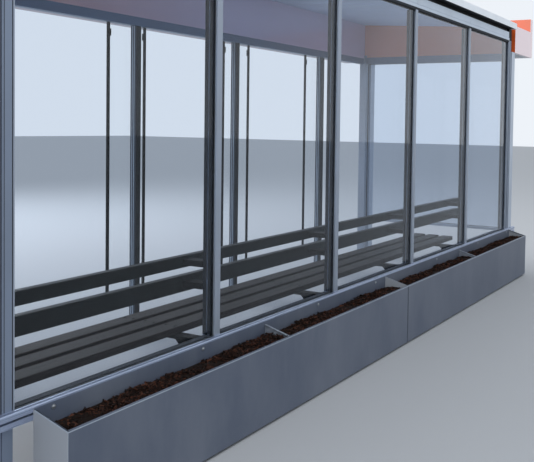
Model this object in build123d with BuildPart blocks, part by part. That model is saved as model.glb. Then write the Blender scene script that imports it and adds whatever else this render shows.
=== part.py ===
"""Bus shelter: glazed back and end walls, slatted bench, sheet canopy and two planters.

Millimetres, +Z up. X runs along the back wall, +Y points to the street.
The origin is on the ground, in the middle of the outline.
"""
from build123d import *
from math import radians, tan
import os

os.makedirs("parts", exist_ok=True)

# Overall plan
bay_pitch = 1206
bay_count = 5
post_depth = 80
front_depth = 1734
canopy_reach = 586
fascia_thickness = 80
ledge_depth = 22
planter_depth = 180

# Heights above the ground, and the steps between them
plate_thickness = 10
beam_low = 417
beam_height = 20
beam_gap = 9
sill_height = 26
ledge_drop = 2
door_head = 2222
end_beam_height = 98
glass_rise = 90
rail_height = 17
header_height = 85
seal_height = 53
canopy_height = 282
fascia_height = 426

# Posts
mullion_width = 42
cap_radius = 2
corner_width = 83
front_post_side = 52
canopy_gap = 38
canopy_post_width = 106
plate_lap = 50
plate_depth = 108
plate_corner = 6
anchor_spacing = 70
anchor_radius = 7
slot_width = 8
slot_place = 54
slot_depth = 5
seam_width = 4
seam_depth = 6
seam_place = 48
wall = 3
front_post_shifts = (-244, 0, 0, 244)

# Glazing
glass_thickness = 8
glass_setback = 15
fit_gap = 0.3
bite = 10
bite_slack = 2
sill_depth = 62

# Back wall trim
ledge_overrun = 202
ledge_step = 8
ledge_groove = 4
ledge_groove_depth = 8
ledge_nose = 6
header_joint = 3
header_lip = 5
header_lip_height = 24
header_groove = 5
header_groove_depth = 3

# Roof
roof_pitch_degrees = 3.43
roof_thickness = 48
roof_side = 10
seal_inset = 20
seal_flange = 3
gutter_drop = 18
gutter_height = 59
gutter_depth = 50
gutter_wall = 3
gutter_lap = 4

# Canopy
sheet_panel = 20
cassette_depth = 40
cassette_sheet = 3
panel_joint = 3
inner_panel = 40
frame_bar = 40
frame_neck = 36

# Front screens
screen_shifts = (57, -57, 57, -57)
screen_width = 378
screen_bar = 17
screen_low = 260

# Bench
seat_high = 478
slat_thickness = 35
slat_width = 105
slat_gap = 37
seat_back = 254
bench_stop = 864
bench_clear = 4
board_thickness = 45
board_places = ((191, 82), (313, 59))
board_front = 245
edge_radius = 5
arm_width = 60
arm_height = 20
brace_low = 256
brace_rise = 85
stub_height = 30

# Planters
planter_extra = 5
planter_joint = 3
planter_shift = 73
tray_front = 409
tray_rise = 47
plate_rise = 4
sheet = 3
rim = 12
foot_height = 15
foot_length = 60
foot_width = 120
divider_drop = 11
divider_flange = 15
bark_drop = 27
bark_crown = 10
bark_clear = 1

# Derived heights
beam_high = beam_low + beam_height
sill_low = beam_high + beam_gap
sill_high = sill_low + sill_height
ledge_high = sill_high - ledge_drop
canopy_low = door_head + end_beam_height
glass_head = canopy_low + glass_rise
header_low = glass_head + rail_height
header_high = header_low + header_height
roof_low = header_high + seal_height
gutter_low = roof_low - gutter_drop
cover_high = canopy_low + canopy_height
tray_back = tray_front + tray_rise
back_plate_high = tray_back + plate_rise
bark_high = tray_front - bark_drop

# Derived places
back_y = -(front_depth + canopy_reach + fascia_thickness - ledge_depth - planter_depth) / 2
front_y = back_y + front_depth
glass_y = back_y + glass_setback + glass_thickness / 2
groove_width = glass_thickness + 2 * fit_gap
wall_x = bay_count * bay_pitch / 2 - mullion_width / 2
frame_x = wall_x + corner_width
canopy_x = frame_x + canopy_gap
box_x = canopy_x + canopy_post_width
fascia_x = box_x + canopy_reach
roof_back = back_y - gutter_lap
fascia_y = front_y + canopy_reach
mullion_xs = [(i + 1 - bay_count / 2) * bay_pitch for i in range(bay_count - 1)]
bay_xs = [(i + 0.5 - bay_count / 2) * bay_pitch for i in range(bay_count)]
front_post_xs = [x + shift for x, shift in zip(mullion_xs, front_post_shifts)]
clear_bay = bay_pitch - mullion_width
end_glass_x = frame_x - glass_setback - glass_thickness / 2
end_back_y = back_y + post_depth
end_front_y = front_y - post_depth
end_middle_y = (end_back_y + end_front_y) / 2
sides = (-1, 1)


def roof_under(y):
    """Height of the roof's underside at a place along Y."""
    return roof_low + tan(radians(roof_pitch_degrees)) * (y - back_y)


def save(piece, name):
    """Label a finished piece and write its STEP file."""
    piece.part.label = name
    export_step(piece.part, f"parts/{name}.step")


# Post sections, drawn with the cap face on the X axis and the depth along +Y
with BuildSketch() as mullion_section:
    Rectangle(mullion_width, post_depth, align=(Align.CENTER, Align.MIN))
    fillet(mullion_section.vertices().group_by(Axis.Y)[0], cap_radius)
    groove_y = glass_setback + glass_thickness / 2
    with Locations((-mullion_width / 2, groove_y), (mullion_width / 2, groove_y)):
        Rectangle(2 * (bite + bite_slack), groove_width, mode=Mode.SUBTRACT)
    chamber_low = groove_y + groove_width / 2 + wall
    with Locations((-mullion_width / 2, slot_place), (mullion_width / 2, slot_place)):
        Rectangle(2 * slot_depth, slot_width, mode=Mode.SUBTRACT)
    chamber_width = mullion_width - 2 * (slot_depth + wall)
    with Locations((0, (chamber_low + post_depth - wall) / 2)):
        Rectangle(chamber_width, post_depth - wall - chamber_low, mode=Mode.SUBTRACT)


def corner_section(glazed_back):
    """Right-hand corner post section, inner edge on the Y axis."""
    with BuildSketch() as section:
        Rectangle(corner_width, post_depth, align=(Align.MIN, Align.MIN))
        fillet(section.vertices().group_by(Axis.Y)[0], cap_radius)
        with Locations((corner_width - groove_y, post_depth)):
            Rectangle(groove_width, 2 * (bite + bite_slack), mode=Mode.SUBTRACT)
        with Locations((seam_place, 0)):
            Rectangle(seam_width, 2 * seam_depth, mode=Mode.SUBTRACT)
        with Locations((corner_width, seam_place)):
            Rectangle(2 * seam_depth, seam_width, mode=Mode.SUBTRACT)
        if glazed_back:
            with Locations((0, groove_y)):
                Rectangle(2 * (bite + bite_slack), groove_width, mode=Mode.SUBTRACT)
        chamber_x = bite + bite_slack + wall
        chamber_y = groove_y + groove_width / 2 + wall
        chamber_top = post_depth - bite - bite_slack - wall
        chamber_side = corner_width - seam_depth - wall
        with Locations(((chamber_x + chamber_side) / 2, (chamber_y + chamber_top) / 2)):
            Rectangle(chamber_side - chamber_x, chamber_top - chamber_y, mode=Mode.SUBTRACT)
    return section.sketch


with BuildSketch() as front_post_section:
    Rectangle(front_post_side, front_post_side, align=(Align.CENTER, Align.MAX))
    half_side = front_post_side / 2
    slot_places = ((0, 0), (0, -front_post_side), (-half_side, -half_side), (half_side, -half_side))
    with Locations(*slot_places[:2]):
        Rectangle(slot_width, 2 * slot_depth, mode=Mode.SUBTRACT)
    with Locations(*slot_places[2:]):
        Rectangle(2 * slot_depth, slot_width, mode=Mode.SUBTRACT)
    with Locations((0, -half_side)):
        RectangleRounded(front_post_side / 2, front_post_side / 2, cap_radius, mode=Mode.SUBTRACT)

with BuildSketch() as canopy_post_section:
    RectangleRounded(canopy_post_width, post_depth, cap_radius)
    half_chamber = (canopy_post_width - 3 * wall) / 2
    with GridLocations(half_chamber + wall, 0, 2, 1):
        Rectangle(half_chamber, post_depth - 2 * wall, mode=Mode.SUBTRACT)

# Upright frame of the back wall
with BuildPart() as back_mullions:
    with BuildSketch(Plane.XY.offset(plate_thickness)):
        with Locations(*[(x, back_y) for x in mullion_xs]):
            add(mullion_section.sketch)
    extrude(amount=glass_head - plate_thickness)
save(back_mullions, "back_mullions")

back_corner = corner_section(glazed_back=True)
front_corner = mirror(corner_section(glazed_back=False), about=Plane.XZ)

with BuildPart() as right_back_post:
    with BuildSketch(Plane.XY.offset(plate_thickness)):
        with Locations((wall_x, back_y)):
            add(back_corner)
    extrude(amount=header_low - plate_thickness)
save(right_back_post, "right_back_post")

with BuildPart() as left_back_post:
    add(mirror(right_back_post.part, about=Plane.YZ))
save(left_back_post, "left_back_post")

with BuildPart() as right_front_post:
    with BuildSketch(Plane.XY.offset(plate_thickness)):
        with Locations((wall_x, front_y)):
            add(front_corner)
    extrude(amount=canopy_low - plate_thickness)
save(right_front_post, "right_front_post")

with BuildPart() as left_front_post:
    add(mirror(right_front_post.part, about=Plane.YZ))
save(left_front_post, "left_front_post")

with BuildPart() as front_posts:
    with BuildSketch(Plane.XY.offset(plate_thickness)):
        with Locations(*[(x, front_y) for x in front_post_xs]):
            add(front_post_section.sketch)
    extrude(amount=door_head - plate_thickness)
save(front_posts, "front_posts")

canopy_post_places = [
    (side * (canopy_x + canopy_post_width / 2), y)
    for side in sides
    for y in (back_y + post_depth / 2, front_y - post_depth / 2)
]
with BuildPart() as canopy_posts:
    with BuildSketch(Plane.XY.offset(plate_thickness)):
        with Locations(*canopy_post_places):
            add(canopy_post_section.sketch)
    extrude(amount=canopy_low - plate_thickness)
save(canopy_posts, "canopy_posts")

# Base plates on the ground, one under each post or pair of posts, with four anchor holes each
pair_x = (wall_x + box_x) / 2
pair_ys = (back_y + post_depth / 2, front_y - post_depth / 2)
plate_groups = (
    ([(side * pair_x, y) for side in sides for y in pair_ys], box_x - wall_x),
    ([(x, back_y + post_depth / 2) for x in mullion_xs], mullion_width),
    ([(x, front_y - front_post_side / 2) for x in front_post_xs], front_post_side),
)
with BuildPart() as base_plates:
    for places, carried_width in plate_groups:
        with BuildSketch():
            with Locations(*places):
                RectangleRounded(carried_width + 2 * plate_lap, plate_depth, plate_corner)
                with GridLocations(carried_width + plate_lap, anchor_spacing, 2, 2):
                    Circle(anchor_radius, mode=Mode.SUBTRACT)
        extrude(amount=plate_thickness)
save(base_plates, "base_plates")

# Rails along the back wall
ledge_half = frame_x + ledge_overrun
with BuildPart() as ledge_rail:
    with BuildSketch(Plane.YZ) as ledge_section:
        with BuildLine():
            step_y = back_y - ledge_depth + ledge_step
            riser_y = step_y + ledge_groove
            Polyline(
                (back_y, sill_low),
                (back_y, sill_high),
                (riser_y, sill_high),
                (riser_y, ledge_high - ledge_groove_depth),
                (step_y, ledge_high - ledge_groove_depth),
                (step_y, ledge_high),
                (back_y - ledge_depth, ledge_high),
                (back_y - ledge_depth, sill_low),
                close=True,
            )
        make_face()
    extrude(amount=ledge_half, both=True)
    fillet(ledge_rail.edges().filter_by(Axis.X).group_by(Axis.Y)[0].sort_by(Axis.Z)[-1], ledge_nose)
save(ledge_rail, "ledge_rail")

with BuildPart() as lower_beam:
    with Locations((0, back_y, beam_low)):
        Box(2 * ledge_half, ledge_depth, beam_height, align=(Align.CENTER, Align.MAX, Align.MIN))
save(lower_beam, "lower_beam")


def glazing_rail(low, high, groove_up):
    """Section of a rail that holds a pane's edge: depth along local X, height along local Y."""
    with BuildSketch() as section:
        with Locations((0, low)):
            Rectangle(sill_depth, high - low, align=(Align.MIN, Align.MIN))
        edge = high if groove_up else low
        with Locations((groove_y, edge)):
            Rectangle(groove_width, 2 * bite, mode=Mode.SUBTRACT)
    return section.sketch


sill_profile = glazing_rail(sill_low, sill_high, groove_up=True)
head_profile = glazing_rail(glass_head, header_low, groove_up=False)
end_head_profile = glazing_rail(door_head, canopy_low, groove_up=False)

with BuildPart() as back_sill:
    for x in bay_xs:
        with BuildSketch(Plane.YZ.offset(x)):
            with Locations((back_y, 0)):
                add(sill_profile)
        extrude(amount=clear_bay / 2, both=True)
save(back_sill, "back_sill")

with BuildPart() as top_rail:
    with BuildSketch(Plane.YZ):
        with Locations((back_y, 0)):
            add(head_profile)
    extrude(amount=wall_x, both=True)
save(top_rail, "top_rail")

with BuildPart() as header_cover:
    for i, x in enumerate(bay_xs):
        left = -wall_x if i == 0 else x - bay_pitch / 2 + header_joint / 2
        right = wall_x if i == bay_count - 1 else x + bay_pitch / 2 - header_joint / 2
        with BuildSketch(Plane.YZ.offset((left + right) / 2)):
            with BuildLine():
                lip_high = header_low + header_lip_height
                Polyline(
                    (back_y - header_lip, header_low),
                    (end_back_y, header_low),
                    (end_back_y, header_high),
                    (back_y, header_high),
                    (back_y, lip_high + header_groove),
                    (back_y + header_groove_depth, lip_high + header_groove),
                    (back_y + header_groove_depth, lip_high),
                    (back_y - header_lip, lip_high),
                    close=True,
                )
            make_face()
        extrude(amount=(right - left) / 2, both=True)
save(header_cover, "header_cover")

with BuildPart() as roof_seal:
    with BuildSketch(Plane.YZ):
        with BuildLine():
            seal_y = back_y + seal_inset
            flange_y = roof_back - gutter_depth + gutter_wall
            Polyline(
                (seal_y, header_high),
                (end_back_y, header_high),
                (end_back_y, roof_under(end_back_y)),
                (seal_y, roof_under(seal_y)),
                (seal_y, gutter_low),
                (flange_y, gutter_low),
                (flange_y, gutter_low - seal_flange),
                (seal_y, gutter_low - seal_flange),
                close=True,
            )
        make_face()
    extrude(amount=wall_x, both=True)
save(roof_seal, "roof_seal")

with BuildPart() as corner_blocks:
    for side in sides:
        with BuildSketch(Plane.YZ.offset(side * (wall_x + frame_x) / 2)):
            with BuildLine():
                Polyline(
                    (back_y, header_low),
                    (end_back_y, header_low),
                    (end_back_y, roof_under(end_back_y)),
                    (back_y, roof_under(back_y)),
                    close=True,
                )
            make_face()
        extrude(amount=corner_width / 2, both=True)
save(corner_blocks, "corner_blocks")

pane_low = sill_high - bite + fit_gap
pane_high = glass_head + bite - bite_slack
with BuildPart() as back_glass:
    with Locations(*[(x, glass_y, pane_low) for x in bay_xs]):
        Box(clear_bay + 2 * bite, glass_thickness, pane_high - pane_low, align=(Align.CENTER, Align.CENTER, Align.MIN))
save(back_glass, "back_glass")

# End walls
end_pane_high = door_head + bite - bite_slack
for side, name in zip(sides, ("left_end_glass", "right_end_glass")):
    with BuildPart() as end_glass:
        with Locations((side * end_glass_x, end_middle_y, pane_low)):
            Box(
                glass_thickness,
                end_front_y - end_back_y + 2 * bite,
                end_pane_high - pane_low,
                align=(Align.CENTER, Align.CENTER, Align.MIN),
            )
    save(end_glass, name)

end_plane = Plane(origin=(frame_x, end_back_y, 0), x_dir=(-1, 0, 0), z_dir=(0, 1, 0))
with BuildPart() as right_end_sill:
    with BuildSketch(end_plane):
        add(sill_profile)
    extrude(amount=end_front_y - end_back_y)
with BuildPart() as end_sills:
    add(right_end_sill.part)
    add(mirror(right_end_sill.part, about=Plane.YZ))
save(end_sills, "end_sills")

with BuildPart() as right_end_beam:
    with BuildSketch(end_plane):
        add(end_head_profile)
    extrude(amount=end_front_y - end_back_y)
with BuildPart() as end_beams:
    add(right_end_beam.part)
    add(mirror(right_end_beam.part, about=Plane.YZ))
save(end_beams, "end_beams")

# Front beam and the coloured panels over the beams
with BuildPart() as front_beam:
    with Locations((0, front_y, door_head)):
        Box(2 * wall_x, front_post_side, end_beam_height, align=(Align.CENTER, Align.MAX, Align.MIN))
save(front_beam, "front_beam")

with BuildPart() as inner_panels:
    panel_y = front_y - inner_panel
    with BuildSketch(Plane.YZ):
        with BuildLine():
            Polyline(
                (panel_y, canopy_low),
                (front_y, canopy_low),
                (front_y, roof_under(front_y)),
                (panel_y, roof_under(panel_y)),
                close=True,
            )
        make_face()
    extrude(amount=frame_x, both=True)
    for side in sides:
        with BuildSketch(Plane.YZ.offset(side * (frame_x - sill_depth / 2))):
            with BuildLine():
                Polyline(
                    (end_back_y, canopy_low),
                    (panel_y - panel_joint, canopy_low),
                    (panel_y - panel_joint, roof_under(panel_y - panel_joint)),
                    (end_back_y, roof_under(end_back_y)),
                    close=True,
                )
            make_face()
        extrude(amount=inner_panel / 2, both=True)
save(inner_panels, "inner_panels")

# Roof and gutter
with BuildPart() as roof_panel:
    with BuildSketch(Plane.YZ):
        with BuildLine():
            Polyline(
                (roof_back, roof_under(roof_back)),
                (front_y, roof_under(front_y)),
                (front_y, roof_under(front_y) + roof_thickness),
                (roof_back, roof_under(roof_back) + roof_thickness),
                close=True,
            )
        make_face()
    extrude(amount=frame_x + roof_side, both=True)
save(roof_panel, "roof_panel")

with BuildPart() as gutter:
    with BuildSketch(Plane.YZ):
        with Locations((roof_back, gutter_low)):
            Rectangle(gutter_depth, gutter_height, align=(Align.MAX, Align.MIN))
        with Locations((roof_back - gutter_wall, gutter_low + gutter_wall)):
            Rectangle(
                gutter_depth - 2 * gutter_wall,
                gutter_height,
                align=(Align.MAX, Align.MIN),
                mode=Mode.SUBTRACT,
            )
    extrude(amount=frame_x + roof_side, both=True)
save(gutter, "gutter")

# Canopy round the ends and the front
soffit_high = canopy_low + sheet_panel
cover_low = cover_high - sheet_panel
side_width = fascia_x - box_x
side_back = back_y + cassette_depth + panel_joint
side_length = front_y - panel_joint - side_back

with BuildPart() as canopy_soffit:
    for side in sides:
        with Locations((side * (box_x + fascia_x) / 2, side_back + side_length / 2, canopy_low)):
            Box(side_width, side_length, sheet_panel, align=(Align.CENTER, Align.CENTER, Align.MIN))
    with Locations((0, front_y, canopy_low)):
        Box(2 * fascia_x, canopy_reach, sheet_panel, align=(Align.CENTER, Align.MIN, Align.MIN))
save(canopy_soffit, "canopy_soffit")

cover_x = frame_x + roof_side + panel_joint
with BuildPart() as canopy_cover:
    for side in sides:
        with Locations((side * (cover_x + fascia_x) / 2, side_back + side_length / 2, cover_low)):
            Box(fascia_x - cover_x, side_length, sheet_panel, align=(Align.CENTER, Align.CENTER, Align.MIN))
    with Locations((0, front_y, cover_low)):
        Box(2 * fascia_x, canopy_reach, sheet_panel, align=(Align.CENTER, Align.MIN, Align.MIN))
save(canopy_cover, "canopy_cover")

with BuildPart() as closing_cassettes:
    for side in sides:
        with Locations((side * (box_x + fascia_x) / 2, back_y, canopy_low)):
            Box(side_width, cassette_depth, canopy_height, align=(Align.CENTER, Align.MIN, Align.MIN))
        with Locations((side * (box_x + fascia_x) / 2, back_y + cassette_sheet, canopy_low + cassette_sheet)):
            Box(
                side_width - 2 * cassette_sheet,
                cassette_depth,
                canopy_height - 2 * cassette_sheet,
                align=(Align.CENTER, Align.MIN, Align.MIN),
                mode=Mode.SUBTRACT,
            )
save(closing_cassettes, "closing_cassettes")

for side, name in zip(sides, ("left_fascia", "right_fascia")):
    with BuildPart() as side_fascia:
        with Locations((side * (fascia_x + fascia_thickness / 2), back_y, canopy_low)):
            Box(
                fascia_thickness,
                fascia_y + fascia_thickness - back_y,
                fascia_height,
                align=(Align.CENTER, Align.MIN, Align.MIN),
            )
    save(side_fascia, name)

with BuildPart() as front_fascia:
    with Locations((0, fascia_y, canopy_low)):
        Box(2 * fascia_x, fascia_thickness, fascia_height, align=(Align.CENTER, Align.MIN, Align.MIN))
save(front_fascia, "front_fascia")

# Steel frames inside the canopy
with BuildPart() as canopy_frames:
    frame_height = cover_low - soffit_high
    neck_ys = (back_y + post_depth / 2 + frame_neck / 2, front_y - post_depth / 2)
    side_frame_ys = (neck_ys[0], (neck_ys[0] + neck_ys[1]) / 2, neck_ys[1])
    for side in sides:
        for y in side_frame_ys:
            with Locations((side * (box_x + fascia_x) / 2, y, soffit_high)):
                Box(side_width, frame_neck, frame_height, align=(Align.CENTER, Align.CENTER, Align.MIN))
            with Locations((side * (box_x + frame_bar + fascia_x) / 2, y, soffit_high + frame_bar)):
                Box(
                    side_width - frame_bar,
                    frame_neck,
                    frame_height - 2 * frame_bar,
                    align=(Align.CENTER, Align.CENTER, Align.MIN),
                    mode=Mode.SUBTRACT,
                )
        for y in neck_ys:
            with Locations((side * (canopy_x + canopy_post_width / 2), y, canopy_low)):
                Box(canopy_post_width, frame_neck, cover_low - canopy_low, align=(Align.CENTER, Align.CENTER, Align.MIN))
    for x in [-wall_x] + front_post_xs + [wall_x]:
        with Locations((x, front_y, soffit_high)):
            Box(frame_bar, canopy_reach, frame_height, align=(Align.CENTER, Align.MIN, Align.MIN))
        with Locations((x, front_y + frame_bar, soffit_high + frame_bar)):
            Box(
                frame_bar,
                canopy_reach - frame_bar,
                frame_height - 2 * frame_bar,
                align=(Align.CENTER, Align.MIN, Align.MIN),
                mode=Mode.SUBTRACT,
            )
save(canopy_frames, "canopy_frames")

# Narrow glass screens on the street side of the front posts
screen_xs = [x + shift for x, shift in zip(front_post_xs, screen_shifts)]
screen_height = canopy_low - screen_low
with BuildPart() as screen_frames:
    for x in screen_xs:
        with Locations((x, front_y, screen_low)):
            Box(screen_width, screen_bar, screen_height, align=(Align.CENTER, Align.MIN, Align.MIN))
        with Locations((x, front_y, screen_low + screen_bar)):
            Box(
                screen_width - 2 * screen_bar,
                screen_bar,
                screen_height - 2 * screen_bar,
                align=(Align.CENTER, Align.MIN, Align.MIN),
                mode=Mode.SUBTRACT,
            )
save(screen_frames, "screen_frames")

with BuildPart() as screen_glass:
    with Locations(*[(x, front_y + screen_bar / 2, screen_low + screen_bar + fit_gap) for x in screen_xs]):
        Box(
            screen_width - 2 * screen_bar - 2 * fit_gap,
            glass_thickness,
            screen_height - 2 * screen_bar - 2 * fit_gap,
            align=(Align.CENTER, Align.CENTER, Align.MIN),
        )
save(screen_glass, "screen_glass")

# Bench
bench_start = -(frame_x - sill_depth) + bench_clear
bench_end = wall_x - bench_stop
bench_length = bench_end - bench_start
bench_middle = (bench_end + bench_start) / 2
arm_high = seat_high - slat_thickness
arm_end = back_y + seat_back + 3 * slat_width + 2 * slat_gap

with BuildPart() as seat_slats:
    for i in range(3):
        with Locations((bench_middle, back_y + seat_back + i * (slat_width + slat_gap), arm_high)):
            Box(bench_length, slat_width, slat_thickness, align=(Align.CENTER, Align.MIN, Align.MIN))
    fillet(seat_slats.edges().filter_by(Axis.X).group_by(Axis.Z)[-1], edge_radius)
save(seat_slats, "seat_slats")

with BuildPart() as backrest_boards:
    for rise, height in board_places:
        with Locations((bench_middle, back_y + board_front, seat_high + rise)):
            Box(bench_length, board_thickness, height, align=(Align.CENTER, Align.MAX, Align.MIN))
    fillet(backrest_boards.edges().filter_by(Axis.X), edge_radius)
save(backrest_boards, "backrest_boards")

rest_y = back_y + board_front - board_thickness
arm_low = arm_high - arm_height
with BuildPart() as bench_brackets:
    for x in [-wall_x] + mullion_xs:
        with BuildSketch(Plane.YZ.offset(x)):
            with BuildLine():
                Polyline(
                    (end_back_y, arm_high),
                    (arm_end, arm_high),
                    (arm_end, arm_low),
                    (end_back_y + arm_low - brace_low, arm_low),
                    (end_back_y, brace_low),
                    (end_back_y, brace_low + brace_rise),
                    (end_back_y + arm_low - brace_low - brace_rise, arm_low),
                    (end_back_y, arm_low),
                    close=True,
                )
            make_face()
            for rise, height in board_places:
                with Locations((end_back_y, seat_high + rise + height / 2)):
                    Rectangle(rest_y - end_back_y, stub_height, align=(Align.MIN, Align.CENTER))
        extrude(amount=arm_width / 2, both=True)
save(bench_brackets, "bench_brackets")

# Planters behind the back wall
planter_length = (2 * wall_x + planter_extra - planter_joint) / 2
planter_y = back_y - ledge_depth - planter_depth
plate_y = back_y - ledge_depth - sheet
pocket_length = planter_length - 2 * sheet
pocket_depth = plate_y - planter_y - sheet
floor_high = foot_height + sheet
planter_step = (planter_length + planter_joint) / 2
planter_xs = (planter_shift - planter_step, planter_shift + planter_step)

for x, side_name in zip(planter_xs, ("left", "right")):
    with BuildPart() as tray:
        with BuildSketch(Plane.YZ.offset(x)):
            with BuildLine():
                Polyline(
                    (planter_y, foot_height),
                    (plate_y, foot_height),
                    (plate_y, tray_back),
                    (planter_y, tray_front),
                    close=True,
                )
            make_face()
        extrude(amount=planter_length / 2, both=True)
        with Locations((x, planter_y + sheet, floor_high)):
            Box(
                pocket_length,
                pocket_depth,
                tray_back,
                align=(Align.CENTER, Align.MIN, Align.MIN),
                mode=Mode.SUBTRACT,
            )
        with Locations((x, planter_y + sheet, tray_front)):
            Box(pocket_length, rim, sheet, align=(Align.CENTER, Align.MIN, Align.MAX))
    save(tray, f"{side_name}_planter_tray")

    with BuildPart() as back_plate:
        with Locations((x, plate_y, foot_height)):
            Box(planter_length, sheet, back_plate_high - foot_height, align=(Align.CENTER, Align.MIN, Align.MIN))
    save(back_plate, f"{side_name}_planter_back")

    with BuildPart() as bark:
        half_pocket = pocket_length / 2 - sheet / 2
        for side in sides:
            start = x + side * (sheet / 2 + half_pocket / 2)
            with BuildSketch(Plane.YZ.offset(start)):
                with BuildLine():
                    near = planter_y + sheet + bark_clear
                    far = plate_y - bark_clear
                    Polyline((near, bark_high), (near, floor_high), (far, floor_high), (far, bark_high))
                    ThreePointArc((far, bark_high), ((near + far) / 2, bark_high + bark_crown), (near, bark_high))
                make_face()
            extrude(amount=half_pocket / 2 - bark_clear, both=True)
    save(bark, f"{side_name}_planter_bark")

with BuildPart() as planter_dividers:
    for x in planter_xs:
        flange_low = (tray_front - divider_drop - sheet, tray_back - divider_drop - sheet)
        for lows, width in (((floor_high, floor_high), sheet), (flange_low, divider_flange)):
            with BuildSketch(Plane.YZ.offset(x)):
                with BuildLine():
                    Polyline(
                        (planter_y + sheet, lows[0]),
                        (plate_y, lows[1]),
                        (plate_y, tray_back - divider_drop),
                        (planter_y + sheet, tray_front - divider_drop),
                        close=True,
                    )
                make_face()
            extrude(amount=width / 2, both=True)
save(planter_dividers, "planter_dividers")

with BuildPart() as planter_feet:
    foot_places = [
        (x + share * (planter_length / 2 - foot_length), planter_y + planter_depth / 2)
        for x in planter_xs
        for share in (-1, 0, 1)
    ]
    with Locations(*foot_places):
        Box(foot_length, foot_width, foot_height, align=(Align.CENTER, Align.CENTER, Align.MIN))
save(planter_feet, "planter_feet")
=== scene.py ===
"""Looks of the bus shelter: finishes, glazing trim, bark, fixings, ceiling and the studio around it.

Lengths are in metres unless their names end in _mm. X runs along the back wall, +Y points to the open front.
"""
import logging
import math
from dataclasses import dataclass, field
from enum import Enum

import bpy
import numpy as np
from mathutils import Matrix, Vector


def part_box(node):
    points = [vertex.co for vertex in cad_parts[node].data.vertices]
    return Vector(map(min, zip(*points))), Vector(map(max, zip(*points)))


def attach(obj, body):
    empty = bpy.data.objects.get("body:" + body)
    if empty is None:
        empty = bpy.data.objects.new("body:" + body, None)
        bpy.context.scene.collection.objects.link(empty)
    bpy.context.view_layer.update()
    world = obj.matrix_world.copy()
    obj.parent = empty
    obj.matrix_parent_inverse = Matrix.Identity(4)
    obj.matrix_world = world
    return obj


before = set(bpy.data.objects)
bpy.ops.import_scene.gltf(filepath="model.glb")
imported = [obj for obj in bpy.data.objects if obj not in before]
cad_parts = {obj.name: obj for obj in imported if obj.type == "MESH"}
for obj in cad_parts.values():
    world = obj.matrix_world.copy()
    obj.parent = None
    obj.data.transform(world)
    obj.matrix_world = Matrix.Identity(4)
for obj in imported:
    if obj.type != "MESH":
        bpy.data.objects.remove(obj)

logging.basicConfig(level=logging.INFO, format="%(levelname)s %(message)s")
LOG = logging.getLogger("shelter")
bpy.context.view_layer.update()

Point = tuple[float, float, float]
Span = tuple[float, float]
Tree = bpy.types.NodeTree
Node = bpy.types.Node
Inputs = dict[str | int, object]

# Driving sizes that the trim shares with the solids
BAY_PITCH = 1.206
BAYS = 5
MULLION_WIDTH = 0.042
MULLION_PLACES = tuple((k + 1 - BAYS / 2) * BAY_PITCH for k in range(BAYS - 1))
FRONT_POST_PLACES = (-2.053, -0.603, 0.603, 2.053)
FRONT_POST_HALF = 0.026
POST_MIDDLE = 0.040

# Numbers of the Mix node's colour sockets, which come after its float and vector ones
FIRST, SECOND, MIXED = 6, 7, 2

# Corners of a box, counted with X slowest and Z fastest, as they run round each of its faces
BOX_FACES = ((0, 1, 3, 2), (4, 6, 7, 5), (0, 4, 5, 1), (2, 3, 7, 6), (0, 2, 6, 4), (1, 5, 7, 3))


class Grain(Enum):
    """Direction in which a surface was drawn or sawn, or in which rain ran down it."""

    LEVEL = (0.02, 1.0, 1.0)
    UPRIGHT = (1.0, 1.0, 0.02)
    SAWN = (0.03, 1.0, 1.0)
    CLOUDED = (1.0, 1.0, 0.45)
    SMEARED = (1.0, 1.0, 0.4)
    RUNNING = (1.0, 1.0, 0.07)
    EVEN = (1.0, 1.0, 1.0)


class Side(Enum):
    """The two ends of the shelter along X."""

    LEFT = -1.0
    RIGHT = 1.0


def linear(hex_colour: str) -> tuple[float, float, float, float]:
    """Turn an sRGB hex colour into linear light.

    Args:
        hex_colour: Six hex digits, such as "A7B0BF".

    Returns:
        Linear red, green, blue and an alpha of 1.
    """
    channels = [int(hex_colour[i : i + 2], 16) / 255 for i in (0, 2, 4)]
    lit = [c / 12.92 if c <= 0.04045 else ((c + 0.055) / 1.055) ** 2.4 for c in channels]
    return (lit[0], lit[1], lit[2], 1.0)


def per_metre(size_mm: float) -> float:
    """Return the texture scale that draws one feature every size_mm."""
    return 1000.0 / size_mm


def feed(tree: Tree, node: Node, inputs: Inputs) -> None:
    """Set a node's inputs to values, or link them to sockets.

    Args:
        tree: The node tree that holds the node.
        node: The node to feed.
        inputs: Values or sockets for the node's inputs, by name or number.
    """
    for name, value in inputs.items():
        if isinstance(value, bpy.types.NodeSocket):
            tree.links.new(value, node.inputs[name])
        else:
            node.inputs[name].default_value = value


def add(tree: Tree, kind: str, inputs: Inputs | None = None, **settings: object) -> Node:
    """Add one node with its settings, values and links.

    Args:
        tree: The node tree that gets the node.
        kind: The node's type name, without the ShaderNode that all of them start with.
        inputs: Values or sockets for the node's inputs, by name or number.
        **settings: Properties of the node itself.

    Returns:
        The new node.
    """
    node = tree.nodes.new(f"ShaderNode{kind}")
    for name, value in settings.items():
        setattr(node, name, value)
    feed(tree, node, inputs or {})
    return node


def bay_edges() -> list[Span]:
    """Return the left and the right edge of each bay's clear opening in the back wall."""
    half = (BAY_PITCH - MULLION_WIDTH) / 2
    centres = [(bay + 0.5 - BAYS / 2) * BAY_PITCH for bay in range(BAYS)]
    return [(centre - half, centre + half) for centre in centres]


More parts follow.
